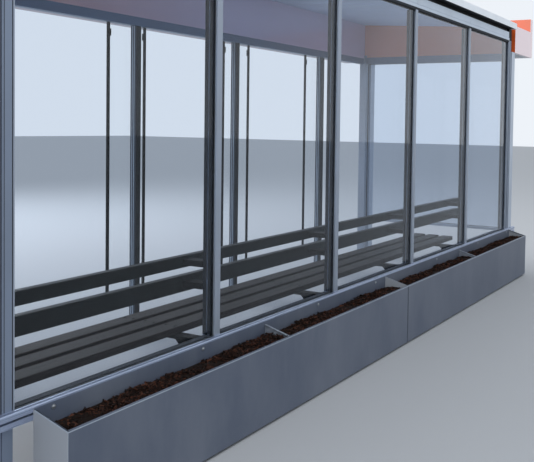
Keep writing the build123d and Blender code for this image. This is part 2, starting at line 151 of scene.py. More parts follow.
def turns(angles: np.ndarray, first: int, second: int) -> np.ndarray:
    """Return one matrix for each angle, turning one axis towards another.

    Args:
        angles: Angles in radians.
        first: Number of the axis that is turned.
        second: Number of the axis that it is turned towards.

    Returns:
        A stack of 3 by 3 matrices.
    """
    made = np.repeat(np.eye(3)[None], len(angles), axis=0)
    made[:, first, first] = made[:, second, second] = np.cos(angles)
    made[:, second, first] = np.sin(angles)
    made[:, first, second] = -np.sin(angles)
    return made


@dataclass(frozen=True)
class Finish:
    """A finish of one real material; subclasses add the pattern of its surface.

    Attributes:
        name: Name of the Blender material.
        colour: Main colour as sRGB hex.
        roughness: Shader roughness of the clean surface.
        metallic: 1 for bare metal, less where it is anodised or dulled, 0 for paint, wood and rubber.
    """

    name: str
    colour: str
    roughness: float = 0.5
    metallic: float = 0.0

    def material(self) -> bpy.types.Material:
        """Build the material once and hand it out afterwards.

        Returns:
            The Blender material of this finish.
        """
        found = bpy.data.materials.get(self.name)
        if found is not None:
            return found
        made = bpy.data.materials.new(self.name)
        made.use_nodes = True
        tree = made.node_tree
        tree.nodes.clear()
        plain = {"Base Color": linear(self.colour), "Roughness": self.roughness, "Metallic": self.metallic}
        shader = add(tree, "BsdfPrincipled", plain)
        add(tree, "OutputMaterial", {"Surface": shader.outputs["BSDF"]})
        feed(tree, shader, self.pattern(tree))
        return made

    def pattern(self, tree: Tree) -> Inputs:
        """Return nothing for the shader: a plain finish has no pattern."""
        return {}

    def place(self, tree: Tree, grain: Grain = Grain.EVEN) -> bpy.types.NodeSocket:
        """Give object coordinates in metres, stretched along the grain.

        Args:
            tree: The material's node tree.
            grain: Direction of the stretch.

        Returns:
            The socket that holds the coordinates.
        """
        coords = add(tree, "TexCoord")
        mapped = add(tree, "Mapping", {"Vector": coords.outputs["Object"], "Scale": grain.value})
        return mapped.outputs["Vector"]


@dataclass(frozen=True)
class AnodisedAluminium(Finish):
    """Extruded aluminium, etched and anodised: a soft grey with faint drawing lines and rain dust."""

    dust: str = "8F949B"
    grain: Grain = Grain.UPRIGHT
    line_mm: float = 3.0
    cloud_mm: float = 350.0

    def pattern(self, tree: Tree) -> Inputs:
        """Mix the clean metal with dust, and draw the extrusion lines.

        Args:
            tree: The material's node tree.

        Returns:
            Values and sockets for the shader.
        """
        lines = add(
            tree,
            "TexNoise",
            {"Vector": self.place(tree, self.grain), "Scale": per_metre(self.line_mm), "Detail": 3.0},
        )
        clouds = add(
            tree,
            "TexNoise",
            {"Vector": self.place(tree), "Scale": per_metre(self.cloud_mm), "Detail": 5.0, "Roughness": 0.6},
        )
        dusty = add(
            tree,
            "MapRange",
            {"Value": clouds.outputs["Fac"], "From Min": 0.45, "From Max": 0.75, "To Max": 0.55},
        )
        colour = add(
            tree,
            "Mix",
            {"Factor": dusty.outputs["Result"], FIRST: linear(self.colour), SECOND: linear(self.dust)},
            data_type="RGBA",
        )
        rough = add(
            tree,
            "MapRange",
            {"Value": lines.outputs["Fac"], "To Min": self.roughness - 0.07, "To Max": self.roughness + 0.09},
        )
        bump = add(tree, "Bump", {"Height": lines.outputs["Fac"], "Strength": 0.08, "Distance": 0.0004})
        return {
            "Base Color": colour.outputs[MIXED],
            "Roughness": rough.outputs["Result"],
            "Normal": bump.outputs["Normal"],
        }


@dataclass(frozen=True)
class PowderCoat(Finish):
    """Powder-coated steel: an even colour with a fine orange-peel skin, paler where rain has left dust."""

    dust: str = "8A8F97"
    peel_mm: float = 2.5
    cloud_mm: float = 420.0
    drip_mm: float = 45.0
    dustiness: float = 0.35
    painted_light_colour: str = ""
    gloss: float = 0.5
    drips: float = 0.0

    def pattern(self, tree: Tree) -> Inputs:
        """Lay the orange-peel bump and the rain dust, any painted light on the faces that look to -X, and
        drips.

        Args:
            tree: The material's node tree.

        Returns:
            Values and sockets for the shader.
        """
        clouds = add(
            tree,
            "TexNoise",
            {
                "Vector": self.place(tree, Grain.CLOUDED),
                "Scale": per_metre(self.cloud_mm),
                "Detail": 6.0,
                "Roughness": 0.62,
            },
        )
        dusty = add(
            tree,
            "MapRange",
            {"Value": clouds.outputs["Fac"], "From Min": 0.35, "From Max": 0.8, "To Max": self.dustiness},
        )
        coat = add(
            tree,
            "Mix",
            {"Factor": dusty.outputs["Result"], FIRST: linear(self.colour), SECOND: linear(self.dust)},
            data_type="RGBA",
        )
        if self.painted_light_colour:
            # Painted light: the faces that look to -X are paler, as if lit from that side
            facing = add(tree, "NewGeometry")
            split = add(tree, "SeparateXYZ", {"Vector": facing.outputs["Normal"]})
            left = add(tree, "Math", {0: split.outputs["X"], 1: -1.0}, operation="MULTIPLY")
            share = add(
                tree,
                "MapRange",
                {"Value": left.outputs["Value"], "From Min": 0.6, "From Max": 0.95, "To Max": 0.85},
            )
            coat = add(
                tree,
                "Mix",
                {"Factor": share.outputs["Result"], FIRST: coat.outputs[MIXED], SECOND: linear(self.painted_light_colour)},
                data_type="RGBA",
            )
        if self.drips:
            # Rain runs off the rim in narrow streaks that dry to a pale film
            runs = add(
                tree,
                "TexNoise",
                {
                    "Vector": self.place(tree, Grain.RUNNING),
                    "Scale": per_metre(self.drip_mm),
                    "Detail": 4.0,
                    "Roughness": 0.7,
                },
            )
            film = add(
                tree,
                "MapRange",
                {"Value": runs.outputs["Fac"], "From Min": 0.55, "From Max": 0.78, "To Max": self.drips},
            )
            coat = add(
                tree,
                "Mix",
                {"Factor": film.outputs["Result"], FIRST: coat.outputs[MIXED], SECOND: linear(self.dust)},
                data_type="RGBA",
            )
        rough = add(
            tree,
            "MapRange",
            {
                "Value": clouds.outputs["Fac"],
                "To Min": self.roughness - 0.06,
                "To Max": self.roughness + 0.12,
            },
        )
        peel = add(
            tree, "TexNoise", {"Vector": self.place(tree), "Scale": per_metre(self.peel_mm), "Detail": 1.0}
        )
        bump = add(tree, "Bump", {"Height": peel.outputs["Fac"], "Strength": 0.12, "Distance": 0.0005})
        return {
            "Base Color": coat.outputs[MIXED],
            "Roughness": rough.outputs["Result"],
            "Normal": bump.outputs["Normal"],
            "Specular IOR Level": self.gloss,
        }


@dataclass(frozen=True)
class LacqueredSheet(Finish):
    """Coil-coated aluminium sheet under a thick clear lacquer: vivid head-on, with a pale painted reflection
    mixed into its colour at a low angle.
    """

    coat_ior: float = 2.2
    ripple_mm: float = 600.0
    shade: str = "E2581C"
    painted_reflection: str = "E6D3DE"
    painted_reflection_span: Span = (0.40, 0.72)
    painted_reflection_share: float = 0.80

    def pattern(self, tree: Tree) -> Inputs:
        """Set the clear coat, the pale painted reflection, slight fading and a faint ripple of the flat
        sheet.

        Args:
            tree: The material's node tree.

        Returns:
            Values and sockets for the shader.
        """
        ripple = add(
            tree,
            "TexNoise",
            {"Vector": self.place(tree), "Scale": per_metre(self.ripple_mm), "Detail": 2.0},
        )
        faded = add(
            tree,
            "Mix",
            {"Factor": ripple.outputs["Fac"], FIRST: linear(self.colour), SECOND: linear(self.shade)},
            data_type="RGBA",
        )
        # Painted reflection: the colour turns to a pale tint where the sheet is seen at a low angle
        graze = add(tree, "LayerWeight", {"Blend": 0.5})
        share = add(
            tree,
            "MapRange",
            {
                "Value": graze.outputs["Facing"],
                "From Min": self.painted_reflection_span[0],
                "From Max": self.painted_reflection_span[1],
                "To Max": self.painted_reflection_share,
            },
        )
        # Base colour with the painted reflection mixed in
        gloss = add(
            tree,
            "Mix",
            {"Factor": share.outputs["Result"], FIRST: faded.outputs[MIXED], SECOND: linear(self.painted_reflection)},
            data_type="RGBA",
        )
        bump = add(tree, "Bump", {"Height": ripple.outputs["Fac"], "Strength": 0.05, "Distance": 0.004})
        return {
            "Base Color": gloss.outputs[MIXED],
            "Normal": bump.outputs["Normal"],
            "Coat Weight": 1.0,
            "Coat Roughness": 0.06,
            "Coat IOR": self.coat_ior,
        }


@dataclass(frozen=True)
class ToughenedGlass(Finish):
    """Toughened float glass: clear with a faint cool tint, rain-spotted and slightly smeared."""

    smear_mm: float = 260.0
    ior: float = 1.45

    def pattern(self, tree: Tree) -> Inputs:
        """Make the shader transmit, and vary its polish with the smears.

        Args:
            tree: The material's node tree.

        Returns:
            Values and sockets for the shader.
        """
        smears = add(
            tree,
            "TexNoise",
            {
                "Vector": self.place(tree, Grain.SMEARED),
                "Scale": per_metre(self.smear_mm),
                "Detail": 6.0,
                "Roughness": 0.7,
            },
        )
        rough = add(
            tree,
            "MapRange",
            {"Value": smears.outputs["Fac"], "From Min": 0.5, "From Max": 0.85, "To Max": 0.03},
        )
        return {"Transmission Weight": 1.0, "IOR": self.ior, "Roughness": rough.outputs["Result"]}


@dataclass(frozen=True)
class StainedTimber(Finish):
    """Planed softwood boards under a dark stain: long grain streaks, paler on worn ridges."""

    worn: str = "8B7A6B"
    streak_mm: float = 9.0
    fibre_mm: float = 1.6
    gloss: float = 0.12

    def pattern(self, tree: Tree) -> Inputs:
        """Draw the growth rings and fibres along X.

        Args:
            tree: The material's node tree.

        Returns:
            Values and sockets for the shader.
        """
        streaks = add(
            tree,
            "TexNoise",
            {
                "Vector": self.place(tree, Grain.SAWN),
                "Scale": per_metre(self.streak_mm),
                "Detail": 6.0,
                "Roughness": 0.65,
                "Distortion": 0.6,
            },
        )
        # Real fibres are finer than a pixel, so they are drawn a little coarser to show at all
        fibres = add(
            tree,
            "TexNoise",
            {"Vector": self.place(tree, Grain.LEVEL), "Scale": per_metre(self.fibre_mm), "Detail": 2.0},
        )
        ridges = add(
            tree, "MapRange", {"Value": streaks.outputs["Fac"], "From Min": 0.42, "From Max": 0.72}
        )
        colour = add(
            tree,
            "Mix",
            {"Factor": ridges.outputs["Result"], FIRST: linear(self.colour), SECOND: linear(self.worn)},
            data_type="RGBA",
        )
        height = add(tree, "Math", {0: streaks.outputs["Fac"], 1: fibres.outputs["Fac"]}, operation="ADD")
        bump = add(tree, "Bump", {"Height": height.outputs["Value"], "Strength": 0.3, "Distance": 0.0008})
        return {
            "Base Color": colour.outputs[MIXED],
            "Normal": bump.outputs["Normal"],
            "Specular IOR Level": self.gloss,
        }


@dataclass(frozen=True)
class BarkChips(Finish):
    """Shredded pine bark: each chip its own red-brown, dull and rough."""

    dark: str = "0C0706"
    pale: str = "472B20"
    pore_mm: float = 4.0
    middle: float = 0.55

    def pattern(self, tree: Tree) -> Inputs:
        """Give each chip its own shade and a pitted skin.

        Args:
            tree: The material's node tree.

        Returns:
            Values and sockets for the shader.
        """
        chip = add(tree, "NewGeometry")
        ramp = add(tree, "ValToRGB", {"Fac": chip.outputs["Random Per Island"]})
        stops = ramp.color_ramp.elements
        stops[0].color = linear(self.dark)
        stops[1].color = linear(self.pale)
        stops.new(self.middle).color = linear(self.colour)
        pores = add(
            tree, "TexNoise", {"Vector": self.place(tree), "Scale": per_metre(self.pore_mm), "Detail": 3.0}
        )
        bump = add(tree, "Bump", {"Height": pores.outputs["Fac"], "Strength": 0.5, "Distance": 0.001})
        return {
            "Base Color": ramp.outputs["Color"],
            "Normal": bump.outputs["Normal"],
            "Specular IOR Level": 0.15,
        }


@dataclass(frozen=True)
class ExtrudedRubber(Finish):
    """Black EPDM gasket: matt, with a slight bloom along its length."""

    bloom: str = "25292C"
    bloom_mm: float = 60.0

    def pattern(self, tree: Tree) -> Inputs:
        """Blend the bloom into the black.

        Args:
            tree: The material's node tree.

        Returns:
            Values and sockets for the shader.
        """
        patches = add(
            tree,
            "TexNoise",
            {"Vector": self.place(tree), "Scale": per_metre(self.bloom_mm), "Detail": 3.0},
        )
        colour = add(
            tree,
            "Mix",
            {"Factor": patches.outputs["Fac"], FIRST: linear(self.colour), SECOND: linear(self.bloom)},
            data_type="RGBA",
        )
        bump = add(tree, "Bump", {"Height": patches.outputs["Fac"], "Strength": 0.1, "Distance": 0.0003})
        return {"Base Color": colour.outputs[MIXED], "Normal": bump.outputs["Normal"]}


@dataclass(frozen=True)
class GalvanisedSteel(Finish):
    """Hot-dip galvanised steel: zinc flakes of mixed greys, dulled by weather."""

    flake_mm: float = 14.0
    pale: str = "B9BDBF"

    def pattern(self, tree: Tree) -> Inputs:
        """Draw the zinc flakes.

        Args:
            tree: The material's node tree.

        Returns:
            Values and sockets for the shader.
        """
        flakes = add(tree, "TexVoronoi", {"Vector": self.place(tree), "Scale": per_metre(self.flake_mm)})
        grey = add(tree, "RGBToBW", {"Color": flakes.outputs["Color"]})
        colour = add(
            tree,
            "Mix",
            {"Factor": grey.outputs["Val"], FIRST: linear(self.colour), SECOND: linear(self.pale)},
            data_type="RGBA",
        )
        rough = add(
            tree,
            "MapRange",
            {"Value": grey.outputs["Val"], "To Min": self.roughness - 0.1, "To Max": self.roughness + 0.1},
        )
        return {"Base Color": colour.outputs[MIXED], "Roughness": rough.outputs["Result"]}


# Etched and anodised extrusions, one satin grey metal in copies: darker ones on the front posts, beams and
# corner posts paint shade; paler ones paint highlights, bluer and shinier on the ledge, pale on the header
# cover and near white on the gutter
UPRIGHT_ALUMINIUM = AnodisedAluminium("anodised_aluminium_upright", "97A1B0", 0.38, 0.55)
CORNER_PAINTED_SHADE_ALUMINIUM = AnodisedAluminium("anodised_aluminium_corner_painted_shade", "7E8A9D", 0.40, 0.5, "778293")
FRONT_PAINTED_SHADE_ALUMINIUM = AnodisedAluminium("anodised_aluminium_front_painted_shade", "454F5C", 0.45, 0.4, "404954")
CANOPY_ALUMINIUM = AnodisedAluminium("anodised_aluminium_canopy", "BAC4D2", 0.38, 0.45, "A8B1BE")
LEVEL_ALUMINIUM = AnodisedAluminium("anodised_aluminium_level", "A4AEBD", 0.38, 0.55, grain=Grain.LEVEL)
BEAM_PAINTED_SHADE_ALUMINIUM = AnodisedAluminium("anodised_aluminium_beam_painted_shade", "6B7E97", 0.40, 0.5, "64758B", Grain.LEVEL)
LEDGE_PAINTED_HIGHLIGHT_ALUMINIUM = AnodisedAluminium("anodised_aluminium_ledge_painted_highlight", "A0ACC4", 0.28, 0.65, "8E99AE", Grain.LEVEL)
COVER_PAINTED_HIGHLIGHT_ALUMINIUM = AnodisedAluminium("anodised_aluminium_header_painted_highlight", "BECAD8", 0.36, 0.5, "AEB9C6", Grain.LEVEL)
GUTTER_PAINTED_HIGHLIGHT_ALUMINIUM = AnodisedAluminium("anodised_aluminium_gutter_painted_highlight", "EDF2F7", 0.42, 0.15, "DCE3EA", Grain.LEVEL)

# Powder coats: satin and even; dull on the inner profiles, whose dark colour is painted shade; streaked by
# rain on the planters, with painted light making their faces that look to -X paler
# Dark coat of the back sill, top rail and inner sheets: painted shade inside the back wall
INNER_SHADE_COAT = PowderCoat("inner_profile_painted_shade_coat", "2A3037", 0.60, dust="30353C", gloss=0.2)
BLACK_COAT = PowderCoat("black_powder_coat", "0D0F11", 0.55, dust="1B1E21", dustiness=0.5, gloss=0.15)
# Roof sheet and lining: painted reflection makes the coat paler and bluer, for the sky reflected in the panes
# over the ceiling
ROOF_COAT = PowderCoat("roof_sheet_coat_painted_sky_tint", "D6E5FD", 0.45, dust="DCE6F5", dustiness=0.4)
SOFFIT_COAT = PowderCoat("soffit_sheet_coat", "B7BDC4", 0.5, dust="C6CACE", dustiness=0.4)
# Planter coat: painted light makes the faces that look to -X paler
PLANTER_COAT = PowderCoat("planter_powder_coat", "4C5566", 0.42, painted_light_colour="999EA5", drips=0.05)
# Darker copy of the planter coat: painted shade on the end folds and in the joint
PLANTER_SHADE_COAT = PowderCoat("planter_fold_painted_shade_coat", "2C333F", 0.5, dust="3A4250", gloss=0.3)
# Pale copy of the planter coat: painted highlights along the folded edges
PLANTER_HIGHLIGHT_COAT = PowderCoat("planter_painted_highlight_coat", "98A2AF", 0.45, dust="A9B1BB")

# Lacquered sheet: the canopy's bright orange, and the panels inside, orange too but painted paler, with a
# bluish painted reflection that starts sooner, for the sky reflected in the panes
ORANGE_LACQUER = LacqueredSheet("orange_lacquered_sheet", "F0702E", 0.30)
INNER_LACQUER = LacqueredSheet(
    "inner_lacquered_sheet_painted_reflection", "FAA583", 0.30, shade="F0946F", painted_reflection="E6DFFF", painted_reflection_span=(0.15, 0.40)
)

# Panes: a low IOR keeps the pale surround from veiling what stands behind them
CLEAR_GLASS = ToughenedGlass("toughened_glass", "DFE7F1", 0.0, ior=1.30)
SCREEN_GLASS = ToughenedGlass("low_iron_glass", "FDFEFE", 0.0, ior=1.15)

# Stained boards: near black, brown on the seat; the backrest's darker, colder copy is painted shade on the
# boards' backlit faces
SEAT_TIMBER = StainedTimber("seat_timber_stain", "1F1A19", 0.55, worn="3A322F")
REST_PAINTED_SHADE_TIMBER = StainedTimber("backrest_timber_stain_painted_shade", "0F1413", 0.42, worn="1F2725")

# Bark: loose chips of mixed browns over a darker fill
BARK = BarkChips("pine_bark", "20130F", 0.85)
BARK_FILL = BarkChips("pine_bark_fill", "140D0A", 0.9, dark="110B09", pale="1A110D")

# Gaskets, plates and fixings: dull black lines, and zinc in weathered greys, darker on the dividers as
# painted shade
RUBBER = ExtrudedRubber("gasket_rubber", "0B0D0F", 0.6, bloom="181C1F")
ZINC = GalvanisedSteel("galvanised_plate", "85898C", 0.5, 0.8)
DIVIDER_PAINTED_SHADE_ZINC = GalvanisedSteel("galvanised_divider_painted_shade", "6F7783", 0.5, 0.3, pale="8E96A1")
BOLT_STEEL = GalvanisedSteel("zinc_plated_fixings", "8E9399", 0.4, 0.8, flake_mm=5.0, pale="A9AEB3")

DRESSED_NODES: dict[Finish, tuple[str, ...]] = {
    UPRIGHT_ALUMINIUM: ("back_mullions", "left_front_post", "right_front_post"),
    CORNER_PAINTED_SHADE_ALUMINIUM: ("left_back_post", "right_back_post"),
    FRONT_PAINTED_SHADE_ALUMINIUM: ("front_posts",),
    CANOPY_ALUMINIUM: ("canopy_posts",),
    LEVEL_ALUMINIUM: ("end_sills",),
    BEAM_PAINTED_SHADE_ALUMINIUM: ("front_beam", "end_beams"),
    LEDGE_PAINTED_HIGHLIGHT_ALUMINIUM: ("ledge_rail", "lower_beam"),
    COVER_PAINTED_HIGHLIGHT_ALUMINIUM: ("header_cover",),
    GUTTER_PAINTED_HIGHLIGHT_ALUMINIUM: ("gutter",),
    INNER_SHADE_COAT: ("back_sill", "top_rail"),
    BLACK_COAT: (
        # The roof seal's black is partly a real black seal and partly painted shade in the gap under the roof
        # edge
        "roof_seal",
        "corner_blocks",
        "canopy_frames",
        "screen_frames",
        "bench_brackets",
        # The planter feet's black is partly real dark feet and partly painted shade in the recess under the
        # trays
        "planter_feet",
    ),
    ROOF_COAT: ("roof_panel",),
    SOFFIT_COAT: ("canopy_soffit",),
    PLANTER_COAT: ("left_planter_tray", "right_planter_tray", "left_planter_back", "right_planter_back"),
    ORANGE_LACQUER: ("canopy_cover", "closing_cassettes", "left_fascia", "right_fascia", "front_fascia"),
    INNER_LACQUER: ("inner_panels",),
    CLEAR_GLASS: ("back_glass", "left_end_glass", "right_end_glass"),
    SCREEN_GLASS: ("screen_glass",),
    SEAT_TIMBER: ("seat_slats",),
    REST_PAINTED_SHADE_TIMBER: ("backrest_boards",),
    BARK_FILL: ("left_planter_bark", "right_planter_bark"),
    ZINC: ("base_plates",),
    DIVIDER_PAINTED_SHADE_ZINC: ("planter_dividers",),
}


@dataclass
class Shop:
    """Collects closed solids and joins them into one piece.

    Attributes:
        points: Corners gathered so far.
        faces: Faces as corner numbers.
    """

    points: list[Point] = field(default_factory=list)
    faces: list[tuple[int, ...]] = field(default_factory=list)

    def bar(self, low: Point, high: Point, rise: float = 0.0) -> None:
        """Add a box, its far +Y end lifted by rise.

        Args:
            low: Lowest corner; its X may also be the higher one, as on mirrored pieces.
            high: Highest corner.
            rise: Lift of the +Y end, for pieces that follow a fall.
        """
        start = len(self.points)
        for x in sorted((low[0], high[0])):
            for y, lift in ((low[1], 0.0), (high[1], rise)):
                for z in (low[2], high[2]):
                    self.points.append((x, y, z + lift))
        for quad in BOX_FACES:
            self.faces.append(tuple(start + i for i in quad))

    def turned(self, centre: Vector, axis: Vector, profile: list[Span], sides: int) -> None:
        """Add a solid of revolution, closed at both ends.

        Args:
            centre: Foot of the solid on its axis.
            axis: Unit direction of the axis.
            profile: Radius and height pairs, from the foot to the tip.
            sides: Number of flats round the axis.
        """
        across = axis.orthogonal().normalized()
        along = axis.cross(across)
        start = len(self.points)
        for radius, height in profile:
            for k in range(sides):
                angle = 2 * math.pi * k / sides
                spot = centre + axis * height + (across * math.cos(angle) + along * math.sin(angle)) * radius
                self.points.append(tuple(spot))
        for ring in range(len(profile) - 1):
            for k in range(sides):
                a = start + ring * sides + k
                b = start + ring * sides + (k + 1) % sides
                self.faces.append((a, b, b + sides, a + sides))
        self.faces.append(tuple(start + k for k in reversed(range(sides))))
        last = start + (len(profile) - 1) * sides
        self.faces.append(tuple(last + k for k in range(sides)))

    def finish(self, name: str, finish: Finish, slot: str) -> None:
        """Join what was gathered into one object that rides on the shelter.

        Args:
            name: Name of the piece.
            finish: Its finish.
            slot: The record's material slot; not used.
        """
        mesh = bpy.data.meshes.new(name)
        mesh.from_pydata(self.points, [], self.faces)
        mesh.update()
        mesh.materials.append(finish.material())
        piece = bpy.data.objects.new(name, mesh)
        bpy.context.scene.collection.objects.link(piece)
        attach(piece, "root")
        LOG.info("%s: %d faces", name, len(self.faces))


@dataclass
class CadDress:
    """Gives every carried-over CAD node its finish."""

    nodes: dict[Finish, tuple[str, ...]]

    def dress(self) -> None:
        """Assign the materials, node by node."""
        finishes = {node: finish for finish, nodes in self.nodes.items() for node in nodes}
        for name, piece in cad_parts.items():
            finish = finishes[name].material()
            if not piece.data.materials:
                piece.data.materials.append(finish)
            for slot in piece.material_slots:
                slot.material = finish
            LOG.info("%s: %s", name, finish.name)


@dataclass
class GlazingTrim:
    """Rubber gaskets that hold the panes, seen as dark lines beside each bar."""

    lip: float = 0.015
    pane: float = 0.008
    width: float = 0.0035
    outer_depth: float = 0.0025
    inner_depth: float = 0.004
    head_strip: float = 0.009

    def gather(self, shop: Shop) -> None:
        """Add the upright and level gaskets of the back wall.

        Args:
            shop: Where the strips are gathered.
        """
        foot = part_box("back_sill")[1].z
        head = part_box("top_rail")[0].z
        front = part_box("back_mullions")[0].y + self.lip
        back = front + self.pane
        for left, right in bay_edges():
            for near, far in ((front - self.outer_depth, front), (back, back + self.inner_depth)):
                shop.bar((left, near, foot), (left + self.width, far, head))
                shop.bar((right - self.width, near, foot), (right, far, head))
                shop.bar((left + self.width, near, head - self.head_strip), (right - self.width, far, head))

    def gather_ends(self, shop: Shop) -> None:
        """Add the gaskets of the two end walls.

        Args:
            shop: Where the strips are gathered.
        """
        pane_low, pane_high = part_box("right_end_glass")
        strips = ((pane_low.x - self.inner_depth, pane_low.x), (pane_high.x, pane_high.x + self.outer_depth))
        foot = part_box("end_sills")[1].z
        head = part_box("end_beams")[0].z
        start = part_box("right_back_post")[1].y
        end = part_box("right_front_post")[0].y
        for side in Side:
            for inner, outer in strips:
                near, far = side.value * inner, side.value * outer
                shop.bar((near, start, foot), (far, start + self.width, head))
                shop.bar((near, end - self.width, foot), (far, end, head))
                shop.bar((near, start + self.width, foot), (far, end - self.width, foot + self.width))
                shop.bar((near, start + self.width, head - self.width), (far, end - self.width, head))

    def build(self) -> None:
        """Make one joined piece of all the gaskets."""
        shop = Shop()
        self.gather(shop)
        self.gather_ends(shop)
        shop.finish("glazing_gaskets", RUBBER, "black_steel")


@dataclass
class InnerShadeSheets:
    """Dark sheets of painted shade on the sides of the back wall's uprights, behind the panes."""

    start: float = 0.027
    slot: Span = (0.050, 0.058)
    thickness: float = 0.0008

    def build(self) -> None:
        """Lay a dark sheet of painted shade before and behind the side slot of each upright."""
        shop = Shop()
        low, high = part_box("back_mullions")
        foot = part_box("back_sill")[1].z
        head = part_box("top_rail")[0].z
        strips = ((low.y + self.start, low.y + self.slot[0]), (low.y + self.slot[1], high.y - self.thickness))
        for left, right in bay_edges():
            for near, far in strips:
                shop.bar((left, near, foot), (left + self.thickness, far, head))
                shop.bar((right - self.thickness, near, foot), (right, far, head))
        shop.finish("inner_shade_sheets", INNER_SHADE_COAT, "frame_aluminium")


@dataclass
class CornerTrim:
    """Seams down the corner posts' caps and the narrow flange that laps the first pane."""

    seams: tuple[float, ...] = (3.0455, 3.030, 2.9955)
    seam_width: float = 0.0025
    proud: float = 0.0006
    flange: Span = (2.9875, 2.9935)
    flange_depth: float = 0.004
    gap: float = 0.001

    def build(self) -> None:
        """Draw both corners' seams and clip on both flanges."""
        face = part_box("back_mullions")[0].y
        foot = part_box("ledge_rail")[1].z + self.gap
        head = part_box("header_cover")[0].z - self.gap
        seams, flanges = Shop(), Shop()
        for side in Side:
            for place in self.seams:
                start, end = side.value * place, side.value * (place + self.seam_width)
                seams.bar((start, face - self.proud, foot), (end, face, head))
            start, end = (side.value * edge for edge in self.flange)
            flanges.bar((start, face, foot), (end, face + self.flange_depth, head))
        seams.finish("corner_seams", RUBBER, "black_steel")
        flanges.finish("corner_flanges", UPRIGHT_ALUMINIUM, "frame_aluminium")


@dataclass
class PostLines:
    """Black sheets of painted shade over the front posts' room side, and pale strips clipped beside their
    side slots.
    """

    shade_sheet_half: float = 0.024
    shade_sheet_proud: float = 0.0008
    strip: Span = (0.005, 0.012)
    strip_proud: float = 0.0015
    foot_gap: float = 0.010
    head_gap: float = 0.002

    def build(self) -> None:
        """Lay a black sheet of painted shade over the room side, and clip a strip on both sides of each side
        slot.
        """
        low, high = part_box("front_posts")
        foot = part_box("base_plates")[1].z + self.foot_gap
        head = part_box("front_beam")[0].z - self.head_gap
        middle = (low.y + high.y) / 2
        shade_sheets, strips = Shop(), Shop()
        for x in FRONT_POST_PLACES:
            left, right = x - self.shade_sheet_half, x + self.shade_sheet_half
            # Black sheet: painted shade on the room side of the post
            shade_sheets.bar((left, low.y - self.shade_sheet_proud, foot), (right, low.y, head))
            for side in Side:
                face = x + side.value * FRONT_POST_HALF
                for hand in (-1, 1):
                    start, end = sorted(middle + hand * edge for edge in self.strip)
                    strips.bar((face, start, foot), (face + side.value * self.strip_proud, end, head))
        shade_sheets.finish("post_shade_sheets", RUBBER, "black_steel")
        strips.finish("post_cover_strips", COVER_PAINTED_HIGHLIGHT_ALUMINIUM, "frame_aluminium")


@dataclass
class PanelLips:
    """Folded lower edges of the coloured panels, lapping down over the beams inside the shelter."""

    drop: float = 0.034
    end_drop: float = 0.023
    thickness: float = 0.002
    end_beam_width: float = 0.062

    def build(self) -> None:
        """Fold one lip along the front beam and one along each end beam."""
        shop = Shop()
        low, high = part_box("front_beam")
        shop.bar(
            (low.x + self.thickness, low.y - self.thickness, high.z - self.drop),
            (high.x - self.thickness, low.y, high.z),
        )
        low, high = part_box("end_beams")
        for side in Side:
            face = side.value * (high.x - self.end_beam_width)
            room = face - side.value * self.thickness
            shop.bar((face, low.y, high.z - self.end_drop), (room, high.y, high.z))
        shop.finish("panel_lips", INNER_LACQUER, "canopy_lacquer")


@dataclass
class PlanterEdges:
    """Folded edges of the planters, drawn as pale lines of painted highlight, and the dark folds beside them,
    whose dark is painted shade.
    """

    width: float = 0.004
    proud: float = 0.0006
    slope: float = 0.047
    sheet: float = 0.003
    fold: float = 0.008
    fold_share: float = 0.96
    joint: float = 0.005

    def build(self) -> None:
        """Paint highlights on the front rims, outer corners and sloping ends; fold the ends in and paint the
        shade in the joint.
        """
        worn, folds = Shop(), Shop()
        for side in Side:
            low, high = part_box(f"{side.name.lower()}_planter_tray")
            end, inner = (low.x, high.x) if side is Side.LEFT else (high.x, low.x)
            inward = -side.value
            rim = high.z - self.slope
            inside = low.y + self.sheet
            outside = low.y - self.proud
            # Pale lines of painted highlight along the edges, dark folds of painted shade beside them
            worn.bar(
                (end - inward * self.proud, low.y, rim - self.width),
                (end + inward * self.proud, high.y - self.width, rim + self.proud),
                self.slope,
            )
            folds.bar(
                (end + inward * self.sheet, inside, rim - self.sheet),
                (end + inward * (self.sheet + self.fold), high.y - self.sheet, rim - self.proud),
                self.slope * self.fold_share,
            )
            worn.bar((low.x, outside, rim - self.width), (high.x, low.y, rim))
            worn.bar((end, outside, low.z), (end + inward * self.width / 2, low.y, rim - self.width))
            # Dark strip: painted shade in the joint between the two trays
            folds.bar((inner, outside, low.z), (inner - inward * self.joint, low.y, rim - self.width))
        worn.finish("planter_painted_highlights", PLANTER_HIGHLIGHT_COAT, "planter_steel")
        folds.finish("planter_end_folds_painted_shade", PLANTER_SHADE_COAT, "planter_steel")


